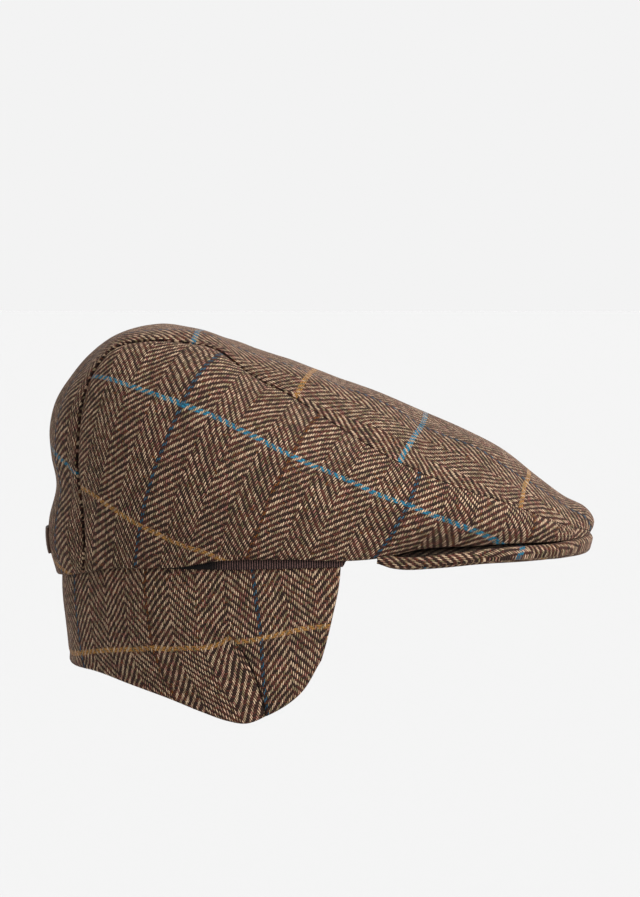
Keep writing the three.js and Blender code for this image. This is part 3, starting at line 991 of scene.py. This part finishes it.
# Coloured lines of the side panel: each one's place in the cloth, and points that it passes through.
SIDE_WARPS = [
    (0, [(-0.0246, 0.1033), (-0.0343, 0.0904), (-0.0462, 0.0644)]),
    (0, [(-0.0541, 0.0439), (-0.0597, 0.0231), (-0.0624, 0.004)]),
    (CHECK, [(0.0285, 0.0755), (0.0194, 0.0671), (0.0122, 0.0516), (0.0045, 0.0396), (-0.0028, 0.0202)]),
    (2 * CHECK, [(0.0762, 0.0439), (0.0731, 0.0369), (0.0674, 0.0254), (0.0609, 0.014), (0.0555, 0.0085)]),
]
SIDE_WEFTS = [
    (0, [(-0.076, 0.0919), (-0.0555, 0.086), (-0.0306, 0.0764), (-0.0014, 0.0648), (0.0326, 0.048)]),
    (0, [(0.0472, 0.0397), (0.0701, 0.0305), (0.0863, 0.0266), (0.0962, 0.0225), (0.1148, 0.0129)]),
    (-CHECK, [(-0.09, 0.0372), (-0.0703, 0.027), (-0.0503, 0.016), (-0.0307, 0.009)]),
]
SIDE_TILT = 24
SIDE_HOLD = 1200
SIDE_SIZE = {"long": 0.30, "high": 0.105}
SIDE_STOP = 0.02  # how many rows before the strip's end it stops


def make_crown_sides(seam, material):
    rows = TURN + (STRIP_END - SIDE_STOP - TURN) * spread(SIDE_SIZE["long"], near_end=False)
    row, down = np.meshgrid(rows, spread(SIDE_SIZE["high"], near_end=False), indexing="ij")
    base = side_point(row, down)
    from_rim = lengths(base, 1)[:, -1:] - lengths(base, 1)
    base, normal = rumpled(base, (0, -1, 0.3), seam, from_rim)
    face, back, bulge, painted_shade = crown_layers(base, normal, seam, 1, from_rim)
    cloth_at = lay_cloth(base, normal, SIDE_WARPS, SIDE_WEFTS, SIDE_TILT, SIDE_HOLD)(base)
    right = wall("crown_side_right_cloth", face, back, cloth_at, bulge, painted_shade=painted_shade)
    left = wall("crown_side_left_cloth", mirrored(face), mirrored(back), cloth_at, bulge, painted_shade=painted_shade)
    dress(right, "crown_side_right", material)
    dress(left, "crown_side_left", material)


FLAP_WARPS = [
    (0, [(-0.0064, -0.0018), (-0.0044, -0.0105), (-0.003, -0.0207), (-0.002, -0.034), (-0.0026, -0.0464)]),
    (-CHECK, [(-0.0583, -0.0036), (-0.0583, -0.0158), (-0.0574, -0.0357)]),
    (-2 * CHECK, [(-0.0955, -0.0194), (-0.0947, -0.0348)]),
]
FLAP_WEFTS = [
    (CHECK, [(-0.0982, -0.0463), (-0.0793, -0.0424), (-0.061, -0.0402), (-0.0409, -0.0385)]),
    (CHECK, [(-0.0108, -0.0348), (-0.0006, -0.0332), (0.0116, -0.0298), (0.0204, -0.0292), (0.0316, -0.028)]),
]
FLAP_HOLD = 2500
# The crease that runs back from the dart's tip: run round the rim from the centre back, and height.
CREASE_RUN = [0.0, 0.060, 0.090, 0.112, 0.128, 0.134, 0.140, 0.2]
CREASE_Z = [-0.049, -0.044, -0.0415, -0.0402, -0.0385, -0.0365, -0.0345, -0.0345]
CREASE_LEAN = [14, 18, 21, 22, 25, 27, 28, 28]  # degrees by which the warp below it leans forward
CREASE_SOFT = 0.003
LEAN_DROP = {"share": 0.2, "soft": 0.02}  # how far the weft drops where the warp leans
DART_TIP = {"run": 0.137, "z": -0.0341}
DART_LIFT = {"height": 0.0035, "beside": 0.014, "below": 0.012}  # of the cloth beside its tip, as it closes
# The dart's groove: where it opens, how deep and wide it is, and how wide its painted shade is.
DART_GROOVE = {"opens": 0.12, "depth": 0.0009, "width": 0.0007, "dark": 0.0006}
DART_SLIDE = 4  # columns over which those beside it follow its slope
FLAP_GRID = {"beside": [0.008, 0.03, 0.06, 0.1, 0.15, 0.21], "behind": 110, "ahead": 85}
FLAP_COLUMN = 0.0135  # width of one of its columns beside the dart
FLAP_WAVE = {"height": 0.0003, "short": 0.0083, "long": 0.031}
PRESSED_LINE = {"up": 0.004, "depth": 0.0004, "width": 0.002, "ends": 0.6}  # above the flap's lower edge


def flap_columns():
    """Columns of the right half, the centre back first, close together on both sides of the dart."""
    beside = DART["column"] + np.array(FLAP_GRID["beside"])
    before = 2 * DART["column"] - beside[::-1]
    behind = np.linspace(0, before[0], FLAP_GRID["behind"])
    ahead = np.linspace(beside[-1], FLAP_END, FLAP_GRID["ahead"])
    return np.concatenate([behind, before[1:], beside[:-1], ahead])


def flap_lay(column, low, base, normal, behind):
    """How the cloth lies on the right half. The dart takes a wedge out of it, so behind the dart the
    warp below the crease leans forward."""
    lay = lay_cloth(base, normal, FLAP_WARPS, FLAP_WEFTS, 0, FLAP_HOLD)
    inset = CLOTH + RIBBON
    angles = np.linspace(0, 125, 900)
    runs = lengths(band_point(angles, inset, 0 * angles), 0)
    run = np.interp(flap_angle(column, low), angles, runs)
    height = base[..., 2]
    from_run = run
    for _ in range(12):
        below = np.interp(from_run, CREASE_RUN, CREASE_Z) - height
        below = (below + np.hypot(below, CREASE_SOFT)) / 2
        lean = np.tan(np.radians(np.interp(from_run, CREASE_RUN, CREASE_LEAN)))
        from_run = run - lean * below * behind
    cloth_at = lay(band_point(np.interp(from_run, runs, angles), inset, height))
    beside_tip = smooth(1 - np.abs(from_run - DART_TIP["run"]) / DART_LIFT["beside"])
    below_tip = smooth((DART_TIP["z"] + DART_LIFT["below"] - height) / DART_LIFT["below"])
    cloth_at[..., 1] -= DART_LIFT["height"] * beside_tip * below_tip * behind
    moved = np.hypot(run - from_run, LEAN_DROP["soft"]) - LEAN_DROP["soft"]
    cloth_at[..., 1] -= LEAN_DROP["share"] * moved * behind
    return cloth_at


def make_ear_flap(material):
    down = spread(FLAP_HEIGHT, near_start=False, near_end=False)
    start, low = np.meshgrid(both_sides(flap_columns()), down, indexing="ij")
    from_dart = np.abs(start) - DART["column"]
    slide = np.maximum(0, 1 - np.abs(from_dart) / DART_SLIDE)
    column = start + np.sign(start) * (dart_column(low) - DART["column"]) * slide
    base = flap_point(column, low)
    normal = grid_normals(base, (-1, 0, 0))

    off = from_dart * FLAP_COLUMN
    opened = smooth((low - DART["start"]) / DART_GROOVE["opens"])
    groove = DART_GROOVE["depth"] * opened * fading(off / DART_GROOVE["width"])
    run = lengths(base, 0)
    wave = np.sin(run / FLAP_WAVE["short"] + 3 * low) * np.sin(2.2 + run / FLAP_WAVE["long"] - 5 * low)
    wave = FLAP_WAVE["height"] * wave * low
    up = (1 - low) * FLAP_HEIGHT
    pressed = PRESSED_LINE["depth"] * fading((up - PRESSED_LINE["up"]) / PRESSED_LINE["width"])
    pressed = pressed * smooth((FLAP_END - np.abs(start)) / PRESSED_LINE["ends"])
    face = base + normal * (wave - groove - pressed)[..., None]
    back = base - normal * FLAP_CLOTH

    right = start[:, 0] >= 0
    behind = (from_dart[right] < 0) * 1.0
    lay = flap_lay(column[right], low[right], base[right], normal[right], behind)
    cloth_at = np.concatenate([lay[:0:-1], lay])
    # Painted shade along the dart's groove.
    painted_shade = opened * fading(off / DART_GROOVE["dark"])
    piece = wall("ear_flap_cloth", face, back, cloth_at, FLAP_CLOTH / 2, painted_shade=painted_shade)
    dress(piece, "ear_flap", material)


PEAK_WEFT = 0.127  # where a blue weft line crosses the peak's upper cover
PEAK_LOWER_WEFT = 0.080
PEAK_WARP = 0.012
PEAK_STRETCH = 0.86  # weft yarns drawn apart on the upper cover
PEAK_ROUNDING = math.radians(9)  # over this much of its angle the board thins towards each rear corner
PEAK_RECESS = {"from": 0.0045, "over": 0.003, "share": 0.9}  # where its cover thins in under the crown and is darkened with painted shade
PEAK_SAG_X = [0.055, 0.062, 0.08, 0.095, 0.107, 0.119, 0.131, 0.143, 0.155, 0.165]
PEAK_SAG = [0, 0.0010, 0.0011, 0.0015, 0.0021, 0.0025, 0.0027, 0.0024, 0.0031, 0.0042]
PEAK_GRID = {"round": 300, "flat": 44, "edge": 12}


def peak_cloth(wrapped):
    """How the cloth lies on the peak's upper cover and on its lower one."""
    x, y, _ = np.moveaxis(wrapped, -1, 0)
    across = PEAK_WARP - y - y**3 / (6 * PEAK_ARCH**2)
    upper = np.stack([across, 10 * CHECK + (x - PEAK_WEFT) * PEAK_STRETCH], axis=-1)
    return upper, np.stack([across, x - PEAK_LOWER_WEFT], axis=-1)


def make_peak(material):
    angle = PEAK_CORNER * np.sin(np.linspace(-math.pi / 2, math.pi / 2, PEAK_GRID["round"]))
    inner, outer = peak_outline(PEAK_INNER, angle), peak_outline(PEAK_OUTER, angle)
    outward = unit(np.cross(np.gradient(outer, axis=0), [0, 0, 1]))[:, None]
    radius = PEAK / 2
    turn = np.radians(np.linspace(0, 90, PEAK_GRID["edge"]))[1:]
    rolls = outer[:, None] - radius * outward
    flat = lerp(inner[:, None], rolls, np.linspace(0, 1, PEAK_GRID["flat"])[:, None])
    base = peak_lifted(np.concatenate([flat, rolls + outward * (radius * np.sin(turn))[:, None]], axis=1))
    turned = np.concatenate([np.zeros(PEAK_GRID["flat"]), turn])
    normal = grid_normals(base, (0, 0, 1))
    from_edge = lengths(base, 1)[:, -1:] - lengths(base, 1)
    covered = smooth((from_edge - PEAK_RECESS["from"]) / PEAK_RECESS["over"])
    near_corner = np.clip(1 - (PEAK_CORNER - np.abs(angle)) / PEAK_ROUNDING, 0, 1)[:, None]
    thick = radius * np.cos(turned) + 0 * from_edge
    upper = base + normal * (thick - radius * PEAK_RECESS["share"] * covered)[..., None]
    sag = np.interp(base[..., 0], PEAK_SAG_X, PEAK_SAG)
    lower = base - normal * (sag + thick * lerp(-0.6, 1, np.sqrt(1 - near_corner**2)))[..., None]
    wrapped = base + outward * (radius * (turned - np.sin(turned)))[:, None]
    upper_cloth, lower_cloth = peak_cloth(wrapped)
    # Its cover is darkened with painted shade where it thins in under the crown.
    piece = wall("peak_cloth", upper, lower, upper_cloth, 0.0, lower_cloth, covered)
    return dress(piece, "peak", material)


RIBBON_SECTIONS = 4
RIBBON_SLANT = 2.4  # degrees by which its cut end leans back on the way down
RIBBON_SHADOW_ENDS = 80  # degrees from the centre back where it comes out from the painted shadow behind the rim
RIB_DEPTH = 0.00035
RIBBON_GRID = {"round": 2601, "down": 9}


def make_ribbon(material):
    shares = np.linspace(-1, 1, RIBBON_GRID["round"])
    share, low = np.meshgrid(shares, np.linspace(0, 1, RIBBON_GRID["down"]), indexing="ij")
    angle = share * (RIBBON_END - RIBBON_SLANT * low)
    edge = ribbon_edge(RIBBON_SECTIONS * np.abs(share))["z"]
    base = band_point(angle, CLOTH + LAYER_GAP, lerp(RIBBON_TOP, edge, low))
    normal = grid_normals(base, (-1, 0, 0))
    run = lengths(base, 0)
    run = run - run[len(run) // 2]
    rib = RIB_DEPTH * (np.abs(np.sin(np.pi * run / RIB_PITCH)) ** 0.8 - 1)
    face = base + normal * rib[..., None]
    back = base - normal * RIBBON
    cloth_at = np.stack([low * 0.01, run], axis=-1)
    # Painted shadow on the ribbon where it runs on behind the rim.
    painted_rim_shadow = smooth((RIBBON_SHADOW_ENDS - np.abs(angle)) / 5)
    piece = wall("rim_ribbon_grosgrain", face, back, cloth_at, RIBBON / 3, painted_shade=painted_rim_shadow)
    return dress(piece, "rim_ribbon", material)


TAB_ROWS = (0.68, 1.63)
TAB_HALF_WIDTH = 0.012
TAB_ROUNDING = 0.0002


def make_back_tab(material):
    row, over = np.meshgrid(np.linspace(*TAB_ROWS, 14), np.linspace(-1, 1, 25), indexing="ij")
    over = over * TAB_HALF_WIDTH / strip(row)["seam_y"]
    base = strip_point(row, over)
    normal = grid_normals(base, (-1, 0, 0))
    face = base + normal * (LAYER_GAP + TAB * 0.8)
    back = base + normal * LAYER_GAP
    piece = wall("back_tab_leather", face, back, np.stack([over, row], axis=-1), TAB_ROUNDING)
    return dress(piece, "back_tab", material)


# ---------------------------------------------------------------- floor, light and camera


FLOOR = {"below": 0.3, "reach": 60}
WORLD = 0.896  # radiance of the pale surroundings
LAMPS = {
    "key": {"from": (0.85, -0.5, 0.55), "irradiance": 3.8, "spread": 35},
    "overhead": {"from": (1.2, -0.2, 0.8), "irradiance": 2.8, "spread": 80},
    "rear fill": {"from": (-0.8, -0.5, 0.05), "irradiance": 1.1, "spread": 60},
}


def make_floor():
    """A wide pale floor, as bright under the lamps as the surroundings beyond it."""
    level = cad_box[0].z - FLOOR["below"]
    far = FLOOR["reach"]
    corners = [(-far, -far, level), (far, -far, level), (far, far, level), (-far, far, level)]
    floor = mesh_object("floor", corners, np.array([[0, 1, 2, 3]]))
    lit = WORLD
    for lamp in LAMPS.values():
        lit += lamp["irradiance"] * Vector(lamp["from"]).normalized().z / math.pi
    shade = WORLD / lit
    paint = Finish("pale_floor").surface((shade, shade, shade, 1), 1.0, {"Specular IOR Level": 0.0})
    floor.data.materials.append(paint)


def light_studio():
    for name, made in LAMPS.items():
        light = bpy.data.lights.new(name, "SUN")
        light.energy = made["irradiance"]
        light.angle = math.radians(made["spread"])
        lamp = bpy.data.objects.new(name, light)
        lamp.rotation_euler = Vector(made["from"]).to_track_quat("Z", "Y").to_euler()
        bpy.context.scene.collection.objects.link(lamp)
    world = bpy.data.worlds.new("studio")
    world.use_nodes = True
    background = world.node_tree.nodes["Background"]
    background.inputs["Color"].default_value = (1, 1, 1, 1)
    background.inputs["Strength"].default_value = WORLD
    bpy.context.scene.world = world
    bpy.context.scene.view_settings.view_transform = "Standard"


CAMERA = {"aim": (0.0277, 0.0, 0.055), "elevation": 3, "distance": 1.6, "frame_height": 0.46}


def make_camera():
    camera = bpy.data.cameras.new("camera")
    camera.sensor_fit = "AUTO"
    camera.lens = camera.sensor_width * CAMERA["distance"] / CAMERA["frame_height"]
    seen_from = bpy.data.objects.new("camera", camera)
    tilt = math.radians(CAMERA["elevation"])
    back = Vector((0, -math.cos(tilt), math.sin(tilt)))
    seen_from.location = Vector(CAMERA["aim"]) + back * CAMERA["distance"]
    seen_from.rotation_euler = (-back).to_track_quat("-Z", "Y").to_euler()
    bpy.context.scene.collection.objects.link(seen_from)
    bpy.context.scene.camera = seen_from


make_camera()
light_studio()
make_floor()
seam_line = Seam()
cap_tweed = tweed()
make_crown_top(seam_line, cap_tweed)
make_crown_sides(seam_line, cap_tweed)
make_peak(cap_tweed)
make_ear_flap(cap_tweed)
make_ribbon(grosgrain())
make_back_tab(tab_leather())
